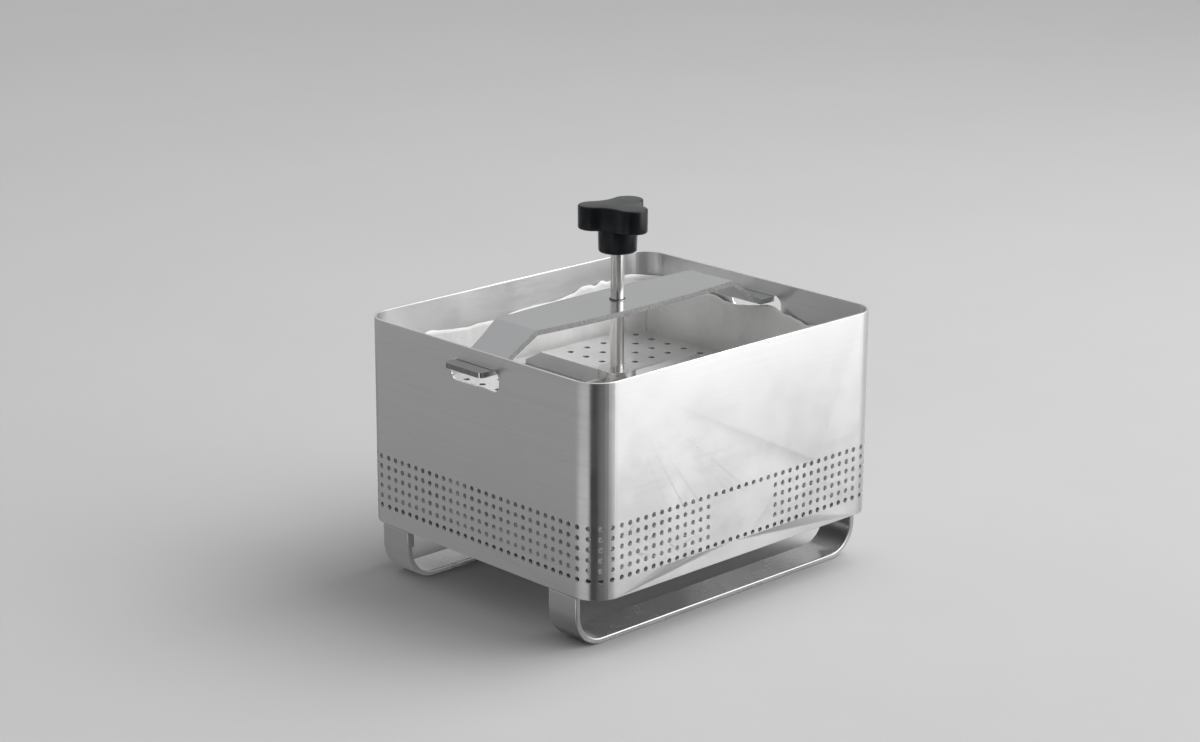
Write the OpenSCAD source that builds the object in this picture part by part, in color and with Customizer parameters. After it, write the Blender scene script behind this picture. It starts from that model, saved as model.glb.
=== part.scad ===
// Perforated box press: a sheet box on two strap feet, a bridge hooked into slots in its
// end walls, and a hand-pushed plate on a rod that slides through the bridge.
// Millimetres. The origin lies on the floor under the rod's axis, +X to the right along the
// long walls, +Y to the back, +Z up. At rest the bridge stands box_offset left of the
// box's middle, with both of its tabs through their slots.

/* [Box] */
// Outside length of the box, left to right
box_l = 229; // [215:1:250]
// Outside width of the box, front to back
box_w = 195; // [175:1:225]
// Height of the sheet wall
wall_h = 123.5; // [110:0.5:140]
// Thickness of the sheet wall
wall_t = 1.5; // [1:0.1:2]
// Outside radius of the upright corners
corner_r = 16.5; // [14:0.5:26]
// Distance from the rod's axis to the middle of the box
box_offset = 4.5; // [0:0.5:5]

/* [Drain holes in the wall] */
// Diameter of one hole
hole_d = 3; // [2:0.1:3.6]
// Distance between holes along the straight walls
hole_pitch = 6.1; // [5:0.1:8]
// Distance between rows
row_pitch = 6; // [5:0.1:7]
// Number of rows
hole_rows = 6; // [3:1:8]
// Height of the lowest row above the wall's bottom edge
first_row = 11.4; // [10.5:0.1:14]
// First column of the front wall left blank for a label, counted from 0 at the left
blank_first = 12; // [2:1:20]
// Number of blank columns
blank_cols = 8; // [0:1:10]

/* [Slots] */
// Width of the slot in each end wall
slot_w = 40.5; // [36:0.5:50]
// Height of the slot
slot_h = 12.6; // [11:0.1:16]
// Corner radius of the slot
slot_r = 5; // [2:0.5:5]
// Distance from the rim down to the slot
slot_drop = 8.5; // [5:0.1:10]

/* [Feet] */
// Clear height of the wall above the floor
foot_h = 31.5; // [26:0.5:45]
// Width of the foot strap
foot_w = 22.5; // [18:0.5:28]
// Thickness of the foot strap
foot_t = 3.3; // [2:0.1:4]
// Distance from the long wall's outer face in to the strap
foot_inset = 15; // [10:0.5:20]
// Outside radius of the strap's bends
foot_bend_r = 20; // [10:1:24]
// Height of the welded tang inside the wall
tang_h = 8; // [6:0.5:8]
// Length of the tang below the wall
tang_lap = 10; // [6:1:14]

/* [Floor] */
// Thickness of the ledge angles
ledge_t = 1.5; // [1:0.1:2]
// Width of the flange that carries the base plate
ledge_w = 10; // [8:1:14]
// Gap from a ledge's end to the next ledge or tang
ledge_gap = 2; // [1:0.5:4]
// Thickness of the base plate
base_t = 1.5; // [1:0.1:2]
// Gap between the base plate and the wall
base_gap = 1; // [0.5:0.1:2]
// Diameter of the drain holes in both plates
drain_d = 4; // [3:0.1:5]
// Distance between the drain holes in both plates
drain_pitch = 14; // [10:0.5:20]

/* [Press cloth] */
// Thickness of the cloth
cloth_t = 0.9; // [0.8:0.1:1]
// Gap between the cloth and what it lies against
cloth_gap = 0.4; // [0.3:0.05:0.5]
// Depth of the hanging folds
fold_depth = 3; // [1:0.1:3]
// Distance from the rim down to the cloth's mean top edge
cloth_drop = 16.5; // [12:0.5:20]
// Rise and fall of the top edge
edge_wave = 4; // [0:0.5:4]

/* [Bridge] */
// Width of the bridge strap at its middle
bridge_w = 42; // [36:0.5:44]
// Width of the bridge strap at its legs and tabs
tab_w = 31; // [26:0.5:34]
// Distance from the lower bends to where the strap starts to widen
swell_in = 13; // [5:0.5:20]
// Corner radius of the tabs
tab_r = 3; // [1:0.5:5]
// Thickness of the bridge strap
bridge_t = 3; // [2:0.1:3.5]
// Height of the bridge's top above the rim
bridge_rise = 8.3; // [6:0.1:14]
// Gap from the lower bends to the end walls when the bridge stands in the middle
toe_in = 8; // [7:0.5:12]
// Distance along the bridge from the lower bends to the upper bends
leg_run = 26.5; // [18:0.5:34]
// Inside radius of the bends
bridge_bend_r = 3; // [1.5:0.5:5]
// Distance that a tab reaches past the wall when the bridge stands in the middle
tab_reach = 4.5; // [2:0.5:8]
// Clearance between a tab's top and the slot
tab_clear = 0.2; // [0.1:0.1:0.5]

/* [Rod and bush] */
// Diameter of the push rod
rod_d = 8; // [6:0.5:10]
// Radial running clearance of the rod
rod_clear = 0.05; // [0.02:0.01:0.1]
// Wall of the bush's neck
bush_wall = 0.8; // [0.6:0.1:1.5]
// Diameter of the bush under the bridge
bush_d = 16; // [14:0.5:20]
// Height of the bush under the bridge
bush_h = 6; // [4:0.5:8]
// Height of the neck above the bridge
neck_rise = 0.8; // [0.4:0.1:1.5]
// Section diameter of the wiper ring
wiper_d = 0.9; // [0.6:0.1:1.2]

/* [Knob] */
// Distance from the axis to a lobe's tip
knob_r = 23; // [20:0.5:28]
// Radius of a lobe
lobe_r = 9; // [7:0.5:10]
// Distance from the axis to the middle of a side
waist_r = 12.7; // [12:0.1:14]
// Height of the lobed head
head_h = 14.2; // [10:0.1:18]
// Diameter of the knob's hub
hub_d = 23; // [18:0.5:24]
// Height of the knob's hub
hub_h = 13.8; // [8:0.1:16]
// Height of the knob's underside above the bridge at rest
knob_lift = 28.7; // [15:0.1:35]
// Direction of the first lobe, in degrees from +X
knob_turn = 21.5; // [0:0.5:119.5]
// Outside diameter of the threaded insert
insert_d = 12; // [11:0.5:14]
// Length of the threaded insert
insert_l = 16; // [12:0.5:18]
// Length of rod inside the knob
rod_grip = 14; // [8:0.5:15]

/* [Press plate] */
// Thickness of the press plate
plate_t = 2; // [1.5:0.1:3]
// Distance from the rim down to the plate's top at rest
plate_drop = 47; // [40:1:55]
// Room from the plate to the cloth's folds when the bridge is slid to its end
plate_clear = 0.7; // [0.5:0.1:2]
// Room from the plate to the cloth's folds at the front and back
side_clear = 3; // [1:0.5:6]
// Corner radius of the plate
plate_r = 16; // [12:1:20]
// Travel of the bridge either side of the box's middle
bridge_travel = 6.5; // [5:0.1:7]

/* [Plate hub and ribs] */
// Diameter of the hub
boss_d = 22; // [18:0.5:28]
// Height of the hub
boss_h = 14; // [13:0.5:16]
// Floor under the hub's socket
socket_floor = 2; // [1.5:0.5:3]
// Thickness of the thrust disc
disc_t = 1.5; // [1:0.1:2]
// Gap between pieces that turn on each other
turn_gap = 0.05; // [0.02:0.01:0.1]
// Diameter of the retaining screw
screw_d = 4; // [3:0.5:5]
// Diameter of the screw's dog point
dog_d = 2.6; // [2:0.1:2.8]
// Depth of the rod's groove
groove_depth = 1; // [0.6:0.1:1.2]
// Room for the dog point in the groove
groove_play = 0.3; // [0.2:0.1:0.5]
// Direction of the retaining screw, in degrees from +X
screw_turn = 225; // [200:5:250]
// Thickness of a rib
rib_t = 2.5; // [2:0.5:4]
// Height of a rib
rib_h = 10; // [6:0.5:11]
// Distance from the axis to the end of a rib
rib_end = 78; // [60:1:80]
// Length of the taper at a rib's end
rib_taper = 14; // [6:1:20]

/* [Hidden] */
$fn = 64;
// Sides given to the small holes
hole_fn = 24;
// Steps in a strap's bend
bend_steps = 18;
// Overshoot of cutting tools
over = 1;

steel = "#b9bcbe";
polished = "#d3d6d8";
black = "#1c1d1f";
white = "#f0f1ee";
brass = "#b59a57";

// Heights
rim_z = foot_h + wall_h;
slot_top_z = rim_z - slot_drop;
slot_low_z = slot_top_z - slot_h;
seat_z = foot_h + tang_h;
base_top_z = seat_z + base_t;
tab_top_z = slot_top_z - tab_clear;
bridge_top_z = rim_z + bridge_rise;
bridge_low_z = bridge_top_z - bridge_t;
plate_top_z = rim_z - plate_drop;
socket_z = plate_top_z + socket_floor;
rod_low_z = socket_z + disc_t + turn_gap;
boss_top_z = plate_top_z + boss_h;
hub_low_z = bridge_top_z + knob_lift;
head_low_z = hub_low_z + hub_h;
rod_top_z = hub_low_z + rod_grip;
groove_w = dog_d + 2 * groove_play;
groove_z = (rod_low_z + boss_top_z) / 2;

// Plan sizes
rod_r = rod_d / 2;
bore_r = rod_r + rod_clear;
neck_r = bore_r + bush_wall;
inner_l = box_l - 2 * wall_t;
inner_w = box_w - 2 * wall_t;
inner_r = corner_r - wall_t;
straight_l = box_l - 2 * corner_r;
straight_w = box_w - 2 * corner_r;
fold_room = cloth_gap + cloth_t + fold_depth;
plate_l = inner_l - 2 * (fold_room + plate_clear + bridge_travel);
plate_w = inner_w - 2 * (fold_room + side_clear);
tab_end = box_l / 2 + tab_reach;
toe_x = inner_l / 2 - toe_in;
bend_x = toe_x - leg_run;
swell_x = toe_x - swell_in;
foot_y = box_w / 2 - foot_inset - foot_w / 2;
tang_out = min(foot_y + foot_w / 2, straight_w / 2 - 1);
tang_in = foot_y - foot_w / 2;

// Columns of holes: whole pitches on the straight walls, even steps round each corner
cols_l = floor(straight_l / hole_pitch);
cols_w = floor(straight_w / hole_pitch);
last_l = (cols_l - 1) * hole_pitch / 2;
last_w = (cols_w - 1) * hole_pitch / 2;
seam_l = last_l + hole_pitch / 2;
seam_w = last_w + hole_pitch / 2;
lead_l = straight_l / 2 - last_l;
lead_w = straight_w / 2 - last_w;
corner_arc = PI * corner_r / 2;
corner_run = lead_l + corner_arc + lead_w;
corner_steps = floor(corner_run / hole_pitch);

// ---- Shapes shared by several sub-parts ----

module rounded_rect(l, w, r) {
    square([l - 2 * r, w], center = true);
    square([l, w - 2 * r], center = true);
    for (sx = [-1, 1], sy = [-1, 1])
        translate([sx * (l / 2 - r), sy * (w / 2 - r)])
            circle(r);
}

function unit(v) = v / norm(v);
function left_of(v) = [-v[1], v[0]];
function turn(a, b) = atan2(a[0] * b[1] - a[1] * b[0], a * b);
function reversed(v) = [for (i = [len(v) - 1:-1:0]) v[i]];

// Points of one rounded bend of a strip whose path turns at q, side being the signed
// distance of this edge to the left of the path
function bend(p, q, s, r, side) =
    let (
        along = unit(q - p),
        angle = turn(along, unit(s - q)),
        way = sign(angle),
        centre = q - along * r * tan(abs(angle) / 2) + left_of(along) * way * r,
        start = atan2(-way * left_of(along)[1], -way * left_of(along)[0])
    )
    [for (i = [0:bend_steps])
        let (a = start + angle * i / bend_steps)
        centre + (r - way * side) * [cos(a), sin(a)]];

function strip_edge(path, r, side) =
    let (
        last = len(path) - 1,
        first_left = left_of(unit(path[1] - path[0])),
        last_left = left_of(unit(path[last] - path[last - 1]))
    )
    concat(
        [path[0] + first_left * side],
        [for (i = [1:last - 1], p = bend(path[i - 1], path[i], path[i + 1], r, side)) p],
        [path[last] + last_left * side]
    );

// A bent strap: its path lies in the XZ plane and r is the radius of its middle line
module strap(path, r, t, w) {
    translate([0, w / 2, 0])
        rotate([90, 0, 0])
            linear_extrude(w)
                polygon(concat(strip_edge(path, r, t / 2), reversed(strip_edge(path, r, -t / 2))));
}

module at_box() {
    translate([box_offset, 0, 0])
        children();
}

// ---- Box ----

// One straight wall, drawn flat from its bottom edge: cols columns of holes, those from
// blank_from on left out between the outer rows, and a slot if slotted
module wall_panel(cols, blank_from, blank_count, slotted) {
    half = cols * hole_pitch / 2;
    linear_extrude(wall_t)
        difference() {
            translate([-half, 0])
                square([2 * half, wall_h]);
            for (row = [0:hole_rows - 1], col = [0:cols - 1])
                if (row == 0 || row == hole_rows - 1 || col < blank_from || col >= blank_from + blank_count)
                    translate([(col + 0.5) * hole_pitch - half, first_row + row * row_pitch])
                        circle(d = hole_d, $fn = hole_fn);
            if (slotted)
                translate([0, slot_low_z - foot_h + slot_h / 2])
                    rounded_rect(slot_w, slot_h, slot_r);
        }
}

// Stands a flat panel up as the wall whose outer face is dist from the middle
module on_side(angle, dist) {
    rotate([0, 0, angle])
        translate([0, wall_t - dist, 0])
            rotate([90, 0, 0])
                children();
}

// Place and outward direction of a hole s along the wall from the front wall's last column
function corner_spot(s) =
    let (
        along = s - lead_l,
        angle = along / corner_r * 180 / PI - 90
    )
    along < 0 ? [last_l + s, -box_w / 2, -90]
    : along > corner_arc ? [box_l / 2, along - corner_arc - straight_w / 2, 0]
    : [straight_l / 2 + corner_r * cos(angle), corner_r * sin(angle) - straight_w / 2, angle];

module wall_corner() {
    difference() {
        linear_extrude(wall_h)
            intersection() {
                difference() {
                    rounded_rect(box_l, box_w, corner_r);
                    rounded_rect(inner_l, inner_w, inner_r);
                }
                translate([seam_l, -box_w])
                    square([box_l, box_w - seam_w]);
            }
        for (step = [1:corner_steps - 1], row = [0:hole_rows - 1])
            let (spot = corner_spot(step * corner_run / corner_steps))
                translate([spot[0], spot[1], first_row + row * row_pitch])
                    rotate([0, 0, spot[2]])
                        rotate([0, 90, 0])
                            cylinder(d = hole_d, h = 4 * wall_t, center = true, $fn = hole_fn);
    }
}

module box_wall() {
    color(steel)
        at_box()
            translate([0, 0, foot_h]) {
                on_side(0, box_w / 2)
                    wall_panel(cols_l, blank_first, blank_cols, false);
                on_side(180, box_w / 2)
                    wall_panel(cols_l, 0, 0, false);
                on_side(-90, box_l / 2)
                    wall_panel(cols_w, 0, 0, true);
                on_side(90, box_l / 2)
                    wall_panel(cols_w, 0, 0, true);
                for (mx = [0, 1], my = [0, 1])
                    mirror([mx, 0, 0])
                        mirror([0, my, 0])
                            wall_corner();
            }
}

// A U-shaped strap whose legs stand under the end walls, with a welded tang inside each
module foot(side) {
    leg_x = (box_l - foot_t) / 2;
    color(steel)
        at_box() {
            translate([0, side * foot_y, 0])
                strap(
                    [[-leg_x, foot_h], [-leg_x, foot_t / 2], [leg_x, foot_t / 2], [leg_x, foot_h]],
                    foot_bend_r - foot_t / 2, foot_t, foot_w
                );
            for (end = [-1, 1])
                translate([
                    end * (inner_l - foot_t) / 2,
                    side * (tang_out + tang_in) / 2,
                    foot_h + (tang_h - tang_lap) / 2
                ])
                    cube([foot_t, tang_out - tang_in, tang_h + tang_lap], center = true);
        }
}

module front_foot() {
    foot(-1);
}

module rear_foot() {
    foot(1);
}

// An angle along a wall: one flange on the wall, the other on top of it, facing inwards
module ledge(length, wall_face, turned) {
    drop = tang_h - 0.5;
    color(steel)
        at_box()
            rotate([0, 0, turned])
                translate([-length / 2, -wall_face, seat_z]) {
                    translate([0, 0, -drop])
                        cube([length, ledge_t, drop]);
                    translate([0, 0, -ledge_t])
                        cube([length, ledge_w, ledge_t]);
                }
}

long_ledge = inner_l - 2 * max(inner_r, foot_t + ledge_gap);
end_ledge = 2 * (tang_in - ledge_gap);

module front_ledge() {
    ledge(long_ledge, inner_w / 2, 0);
}

module rear_ledge() {
    ledge(long_ledge, inner_w / 2, 180);
}

module left_ledge() {
    ledge(end_ledge, inner_l / 2, -90);
}

module right_ledge() {
    ledge(end_ledge, inner_l / 2, 90);
}

// Drain holes in a grid that keeps clear of a plate's edge and of what stands on it
module drain_grid(l, w, keep_r, keep_cross) {
    nx = floor((l / 2 - drain_d - 3) / drain_pitch - 0.5);
    ny = floor((w / 2 - drain_d - 3) / drain_pitch - 0.5);
    for (i = [-nx - 1:nx], j = [-ny - 1:ny])
        let (x = (i + 0.5) * drain_pitch, y = (j + 0.5) * drain_pitch)
            if (norm([x, y]) > keep_r + drain_d && min(abs(x), abs(y)) > keep_cross + drain_d / 2)
                translate([x, y])
                    circle(d = drain_d, $fn = hole_fn);
}

module base_plate() {
    l = inner_l - 2 * base_gap;
    w = inner_w - 2 * base_gap;
    color(steel)
        at_box()
            translate([0, 0, seat_z])
                linear_extrude(base_t)
                    difference() {
                        rounded_rect(l, w, inner_r - base_gap);
                        drain_grid(l - 2 * ledge_w, w - 2 * ledge_w, 0, 0);
                    }
}

// ---- Press cloth ----

// Points round the cloth, and rings from its floor to its top edge
cloth_points = 96;
cloth_rings = [0, 0.04, 0.3, 0.55, 0.78, 1];
// Inset and height of the rounded floor edge
cloth_turn = 3;
cloth_low_z = base_top_z + cloth_gap;
// Length over which the top edge rises again beside a slot
dip_run = 18;

// Fraction of full fold depth at ring k: the cloth lies flat on the floor and opens upwards
function fold_at(k, share) =
    fold_depth * cloth_rings[k] * (0.5 - 0.3 * cos(360 * 13 * share) - 0.2 * cos(360 * 21 * share + 50));

// Point at a share of the way round a rounded rectangle of half sizes a and b, by length
function round_spot(share, a, b, r) =
    let (
        sides = [2 * (a - r), PI * r / 2, 2 * (b - r), PI * r / 2],
        loop = 2 * (sides[0] + sides[1] + sides[2] + sides[3]),
        at = share * loop,
        half = at < loop / 2 ? 1 : -1,
        s = half > 0 ? at : at - loop / 2,
        s1 = s - sides[0],
        s2 = s1 - sides[1],
        s3 = s2 - sides[2]
    )
    half * (
        s1 < 0 ? [s - a + r, -b]
        : s2 < 0 ? [a - r, r - b] + r * [sin(s1 / r * 180 / PI), -cos(s1 / r * 180 / PI)]
        : s3 < 0 ? [a, s2 - b + r]
        : [a - r, b - r] + r * [cos(s3 / r * 180 / PI), sin(s3 / r * 180 / PI)]
    );

// Height of the top edge: long waves, and a smooth dip below each slot
function edge_z(share, p) =
    let (
        wave = 0.6 * sin(360 * 3 * share + 200) + 0.4 * sin(360 * 8 * share + 30),
        top = rim_z - cloth_drop + edge_wave * wave,
        on_end = abs(p[0]) > inner_l / 2 - inner_r ? 1 : 0,
        beside = (abs(p[1]) - slot_w / 2 - 4) / dip_run,
        dip = on_end * (1 - max(0, min(1, beside)))
    )
    top + (slot_low_z - 1.5 - top) * dip * dip * (3 - 2 * dip);

// One ring of the cloth's outer face (skin = 0) or inner face (skin = cloth_t)
function cloth_ring(k, skin) =
    [for (i = [0:cloth_points - 1])
        let (
            share = i / cloth_points,
            inset = cloth_gap + skin + fold_at(k, share) + (k == 0 ? cloth_turn : 0),
            p = round_spot(share, inner_l / 2 - inset, inner_w / 2 - inset, inner_r - inset),
            low = cloth_low_z + skin,
            z = low + (edge_z(share, p) - low) * cloth_rings[k]
        )
        [p[0], p[1], z]];

function band(a, b) =
    [for (i = [0:cloth_points - 1], half = [0, 1])
        let (j = (i + 1) % cloth_points)
        half == 0 ? [a + i, b + i, b + j] : [a + i, b + j, a + j]];

function fan(ring, hub, up) =
    [for (i = [0:cloth_points - 1])
        let (j = (i + 1) % cloth_points)
        up ? [hub, ring + j, ring + i] : [hub, ring + i, ring + j]];

module press_cloth() {
    last = len(cloth_rings) - 1;
    outer = [for (k = [0:last], p = cloth_ring(k, 0)) p];
    inner = [for (k = [last:-1:0], p = cloth_ring(k, cloth_t)) p];
    rings = 2 * last + 1;
    points = concat(outer, inner, [[0, 0, cloth_low_z], [0, 0, cloth_low_z + cloth_t]]);
    faces = concat(
        fan(0, len(points) - 2, false),
        [for (k = [0:rings - 1], f = band(k * cloth_points, (k + 1) * cloth_points)) f],
        fan(rings * cloth_points, len(points) - 1, true)
    );
    color(white)
        at_box()
            polyhedron(points = points, faces = faces, convexity = 4);
}

// ---- Bridge ----

// Plan of the bridge: a straight strip that two long arcs widen towards the middle
module bridge_outline() {
    swell = (bridge_w - tab_w) / 2;
    arc_r = (swell_x * swell_x + swell * swell) / (2 * swell);
    rounded_rect(2 * tab_end, tab_w, tab_r);
    intersection() {
        translate([0, bridge_w / 2 - arc_r])
            circle(arc_r, $fn = 720);
        translate([0, arc_r - bridge_w / 2])
            circle(arc_r, $fn = 720);
    }
}

module bridge() {
    low = tab_top_z - bridge_t / 2;
    high = bridge_top_z - bridge_t / 2;
    color(steel)
        difference() {
            intersection() {
                strap(
                    [[-tab_end, low], [-toe_x, low], [-bend_x, high], [bend_x, high], [toe_x, low], [tab_end, low]],
                    bridge_bend_r + bridge_t / 2, bridge_t, bridge_w
                );
                translate([0, 0, low - bridge_t])
                    linear_extrude(high - low + 2 * bridge_t)
                        bridge_outline();
            }
            translate([0, 0, bridge_low_z - over])
                cylinder(r = neck_r, h = bridge_t + 2 * over);
        }
}

module guide_bush() {
    color(polished)
        difference() {
            union() {
                translate([0, 0, bridge_low_z - bush_h])
                    cylinder(d = bush_d, h = bush_h);
                translate([0, 0, bridge_low_z])
                    cylinder(r = neck_r, h = bridge_t + neck_rise);
            }
            translate([0, 0, bridge_low_z - bush_h - over])
                cylinder(r = bore_r, h = bush_h + bridge_t + neck_rise + 2 * over);
        }
}

module wiper_ring() {
    color(black)
        translate([0, 0, bridge_top_z + neck_rise + wiper_d / 2])
            rotate_extrude()
                translate([bore_r + wiper_d / 2, 0])
                    circle(d = wiper_d, $fn = hole_fn);
}

// ---- Press plate ----

module press_plate() {
    color(steel)
        translate([0, 0, plate_top_z - plate_t])
            linear_extrude(plate_t)
                difference() {
                    rounded_rect(plate_l, plate_w, plate_r);
                    drain_grid(plate_l, plate_w, boss_d / 2, rib_t / 2);
                }
}

// A flat bar on edge from the hub outwards, tapered at its end
module rib(direction) {
    color(steel)
        rotate([0, 0, direction])
            translate([0, rib_t / 2, plate_top_z])
                rotate([90, 0, 0])
                    linear_extrude(rib_t)
                        polygon([
                            [boss_d / 2, 0],
                            [rib_end, 0],
                            [rib_end, rib_h / 4],
                            [rib_end - rib_taper, rib_h],
                            [boss_d / 2, rib_h]
                        ]);
}

module right_rib() {
    rib(0);
}

module rear_rib() {
    rib(90);
}

module left_rib() {
    rib(180);
}

module front_rib() {
    rib(270);
}

// Places a shape drawn along +Z on the retaining screw's line, from the axis outwards
module on_screw() {
    translate([0, 0, groove_z])
        rotate([0, 0, screw_turn])
            rotate([0, 90, 0])
                children();
}

module plate_hub() {
    color(polished)
        difference() {
            translate([0, 0, plate_top_z])
                cylinder(d = boss_d, h = boss_h);
            translate([0, 0, socket_z])
                cylinder(r = bore_r, h = boss_h);
            on_screw()
                cylinder(d = screw_d, h = boss_d, $fn = hole_fn);
        }
}

module thrust_disc() {
    color(brass)
        translate([0, 0, socket_z])
            cylinder(r = bore_r - turn_gap, h = disc_t);
}

module retaining_screw() {
    tip = rod_r - groove_depth + 2 * turn_gap;
    shank = bore_r + 0.4;
    head = boss_d / 2 - 0.5;
    socket = 2.2;
    color("#8d9194")
        on_screw()
            difference() {
                union() {
                    translate([0, 0, tip])
                        cylinder(d = dog_d, h = head - tip, $fn = hole_fn);
                    translate([0, 0, shank])
                        cylinder(d = screw_d, h = head - shank, $fn = hole_fn);
                }
                translate([0, 0, head - socket])
                    cylinder(d = screw_d / 2, h = socket + over, $fn = 6);
            }
}

// ---- Rod and knob ----

module rod() {
    chamfer = 0.6;
    color(polished)
        difference() {
            translate([0, 0, rod_low_z])
                rotate_extrude()
                    polygon([
                        [0, 0],
                        [rod_r - chamfer, 0],
                        [rod_r, chamfer],
                        [rod_r, rod_top_z - rod_low_z - chamfer],
                        [rod_r - chamfer, rod_top_z - rod_low_z],
                        [0, rod_top_z - rod_low_z]
                    ]);
            translate([0, 0, groove_z - groove_w / 2])
                difference() {
                    cylinder(r = rod_r + over, h = groove_w);
                    translate([0, 0, -over])
                        cylinder(r = rod_r - groove_depth, h = groove_w + 2 * over);
                }
        }
}

// Three lobes joined by hollow sides: each side is an arc that touches both of its lobes
module knob_outline() {
    reach = knob_r - lobe_r;
    ahead = reach * cos(60);
    aside = reach * sin(60);
    dent = waist_r - ahead;
    hollow_r = (dent * dent + aside * aside - lobe_r * lobe_r) / (2 * (lobe_r - dent));
    hollow_x = waist_r + hollow_r;
    touch = unit([hollow_x - ahead, -aside]);
    difference() {
        union() {
            for (a = [0, 120, 240])
                rotate(a)
                    translate([reach, 0])
                        circle(lobe_r);
            polygon([for (a = [60, 180, 300], s = [-1, 1])
                let (p = [ahead + lobe_r * touch[0], s * (aside + lobe_r * touch[1])])
                [p[0] * cos(a) - p[1] * sin(a), p[0] * sin(a) + p[1] * cos(a)]]);
        }
        for (a = [60, 180, 300])
            rotate(a)
                translate([hollow_x, 0])
                    circle(hollow_r, $fn = 180);
    }
}

module knob() {
    color(black)
        difference() {
            union() {
                translate([0, 0, head_low_z])
                    rotate([0, 0, knob_turn])
                        linear_extrude(head_h)
                            knob_outline();
                translate([0, 0, hub_low_z])
                    cylinder(d = hub_d, h = hub_h + over);
            }
            translate([0, 0, hub_low_z - over])
                cylinder(d = insert_d, h = insert_l + over);
        }
}

module knob_insert() {
    color(brass)
        difference() {
            translate([0, 0, hub_low_z])
                cylinder(d = insert_d, h = insert_l);
            translate([0, 0, hub_low_z - over])
                cylinder(r = rod_r, h = rod_grip + over);
        }
}

box_wall();
front_foot();
rear_foot();
front_ledge();
rear_ledge();
left_ledge();
right_ledge();
base_plate();
press_cloth();
bridge();
guide_bush();
wiper_ring();
press_plate();
left_rib();
right_rib();
front_rib();
rear_rib();
plate_hub();
thrust_disc();
retaining_screw();
rod();
knob();
knob_insert();
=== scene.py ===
"""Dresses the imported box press: brushed sheet steel, cotton liner, polished rod and moulded knob.

The pieces' sizes are written in millimetres, and the studio's and the shaders' in metres. Places
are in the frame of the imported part: the origin lies on the floor under the rod, +X runs to the
right along the long walls, +Y to the back and +Z up.
"""

import logging
import math
from collections.abc import Callable, Iterable, Sequence
from dataclasses import dataclass
from enum import Enum

import bmesh
import bpy
from mathutils import Euler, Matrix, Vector, noise


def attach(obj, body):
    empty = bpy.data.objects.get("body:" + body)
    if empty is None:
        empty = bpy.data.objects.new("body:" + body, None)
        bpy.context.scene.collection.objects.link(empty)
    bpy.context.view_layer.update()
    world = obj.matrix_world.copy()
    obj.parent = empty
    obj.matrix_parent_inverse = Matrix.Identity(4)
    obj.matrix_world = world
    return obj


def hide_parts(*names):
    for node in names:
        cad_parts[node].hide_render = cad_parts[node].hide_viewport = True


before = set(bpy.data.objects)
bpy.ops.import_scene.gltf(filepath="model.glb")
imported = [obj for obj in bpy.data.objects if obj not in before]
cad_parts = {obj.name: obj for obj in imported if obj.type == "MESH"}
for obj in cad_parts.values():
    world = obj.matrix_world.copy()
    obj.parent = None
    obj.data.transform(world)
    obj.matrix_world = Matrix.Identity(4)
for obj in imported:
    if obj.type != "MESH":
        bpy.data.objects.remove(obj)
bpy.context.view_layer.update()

LOG = logging.getLogger("box_press")
MM = 0.001
# The two UV maps, both in metres.
GRAIN_MAP = "grain"
CLOTH_MAP = "weave"
# Points closer than this are one point, in metres.
MERGE_DISTANCE = 2e-6
# Faces larger than this are flat sheet and are shaded flat, in square metres.
FLAT_AREA = 2e-4
# A face whose normal has more than this along an axis faces that way.
FACING = 0.7

# What an input takes: another node's output, or a value of its own.
Feed = bpy.types.NodeSocket | float | Sequence[float]
Sockets = bpy.types.bpy_prop_collection
Colour = tuple[float, float, float, float]
EdgeLine = tuple[tuple[float, float], ...]
GlowColumns = tuple[tuple[float, float], ...]


class Body(Enum):
    """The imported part's moving bodies."""

    BOX = "box"
    BRIDGE = "bridge_frame"
    PRESS = "press"
    ROD = "push_rod"


class Grain(Enum):
    """Which way the brushing runs on a steel piece."""

    LEVEL = "level"
    LENGTHWISE = "lengthwise"
    TURNED = "turned"


class EdgeLook(Enum):
    """How the cut edges or the upward faces of a steel piece differ from the rest: pitted cut edges, or a
    painted highlight on upward faces.
    """

    PLAIN = "plain"
    # Upward faces painted lighter and made rougher: a painted highlight on the rim and other tops.
    PITTED = "pitted"
    DEBURRED = "deburred"


# ---- Shader wiring ----


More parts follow.
